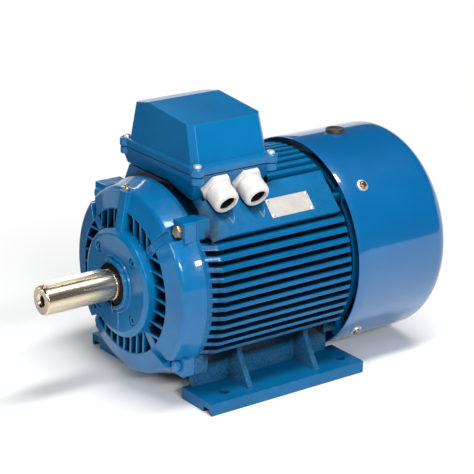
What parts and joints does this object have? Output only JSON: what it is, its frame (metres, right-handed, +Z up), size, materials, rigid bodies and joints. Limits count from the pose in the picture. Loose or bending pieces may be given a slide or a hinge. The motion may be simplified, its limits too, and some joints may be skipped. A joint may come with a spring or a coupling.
{
  "type": "foot-mounted electric motor",
  "caption": "Foot-mounted, fan-cooled induction motor with finned cast frame, keyed shaft end, ribbed end shield, fan cowl and top terminal box",
  "frame": {"origin": "In the plane under the feet, at the centre of the four foot holes", "axes": "+X along the shaft towards its keyed end, +Y towards the side of the cable glands, +Z up"},
  "size_m": [0.6065, 0.317, 0.4022],
  "materials": {
    "blue_casting": "gloss paint over sand casting",
    "blue_sheet": "gloss paint on pressed sheet",
    "blue_box": "gloss paint on die casting",
    "shaft_steel": "ground steel",
    "bearing_steel": "polished bearing steel",
    "painted_steel": "gloss paint over steel",
    "zinc_steel": "zinc plated",
    "yellow_zinc": "yellow passivated",
    "lamination": "stacked electrical sheet",
    "rotor_aluminium": "die cast",
    "winding_tape": "varnished tape over copper",
    "black_rubber": "moulded",
    "grey_rubber": "sheet gasket",
    "grey_plastic": "moulded polyamide",
    "black_plastic": "moulded",
    "fan_plastic": "moulded polypropylene",
    "cage_plastic": "moulded polyamide",
    "brass": "turned",
    "plate_metal": "satin"
  },
  "bodies": {
    "stator": {"frame_housing": "blue_casting", "shield_drive_end": "blue_casting", "grease_nipple": "yellow_zinc", "shield_fan_end": "blue_casting", "shield_bolts_drive": "yellow_zinc", "shield_bolts_fan": "zinc_steel", "bearing_cover_drive": "blue_casting", "bearing_cover_fan": "blue_casting", "cover_bolts_drive": "painted_steel", "cover_bolts_fan": "zinc_steel", "preload_spring": "zinc_steel", "bearing_outer_ring_drive": "bearing_steel", "bearing_outer_ring_fan": "bearing_steel", "stator_core": "lamination", "stator_winding": "winding_tape", "fan_cowl": "blue_sheet", "cowl_screws": "yellow_zinc", "cowl_washers": "zinc_steel", "cowl_plug": "black_plastic", "terminal_box_gasket": "grey_rubber", "terminal_box_base": "blue_box", "terminal_box_bolts": "zinc_steel", "terminal_box_lid": "blue_box", "lid_gasket": "grey_rubber", "lid_screws": "zinc_steel", "terminal_board": "black_plastic", "terminal_studs": "brass", "terminal_links": "brass", "terminal_nuts": "brass", "earth_screw": "brass", "gland_bodies": "grey_plastic", "gland_caps": "grey_plastic", "gland_seals": "black_rubber", "nameplate": "plate_metal", "nameplate_rivets": "zinc_steel"},
    "rotor": {"bearing_inner_ring_drive": "bearing_steel", "bearing_inner_ring_fan": "bearing_steel", "rotor_core": "lamination", "rotor_cage_rings": "rotor_aluminium", "shaft": "shaft_steel", "shaft_key": "shaft_steel", "shaft_seal_drive": "black_rubber", "shaft_seal_fan": "black_rubber", "fan": "fan_plastic", "fan_circlip": "zinc_steel"},
    "ball_row_drive": {"bearing_balls_drive": "bearing_steel", "bearing_cage_drive": "cage_plastic"},
    "ball_row_fan": {"bearing_balls_fan": "bearing_steel", "bearing_cage_fan": "cage_plastic"}
  },
  "joints": [
    {"name": "rotor_spin", "type": "hinge", "parent": "stator", "child": "rotor", "pos_m": [0, 0, 0.16], "axis": [1, 0, 0], "continuous": true},
    {"name": "balls_drive_spin", "type": "hinge", "parent": "stator", "child": "ball_row_drive", "pos_m": [0, 0, 0.16], "axis": [1, 0, 0], "continuous": true},
    {"name": "balls_fan_spin", "type": "hinge", "parent": "stator", "child": "ball_row_fan", "pos_m": [0, 0, 0.16], "axis": [1, 0, 0], "continuous": true}
  ],
  "couplings": [
    {"joint": "balls_drive_spin", "follows": "rotor_spin", "ratio": 0.3796},
    {"joint": "balls_fan_spin", "follows": "rotor_spin", "ratio": 0.3796}
  ]
}
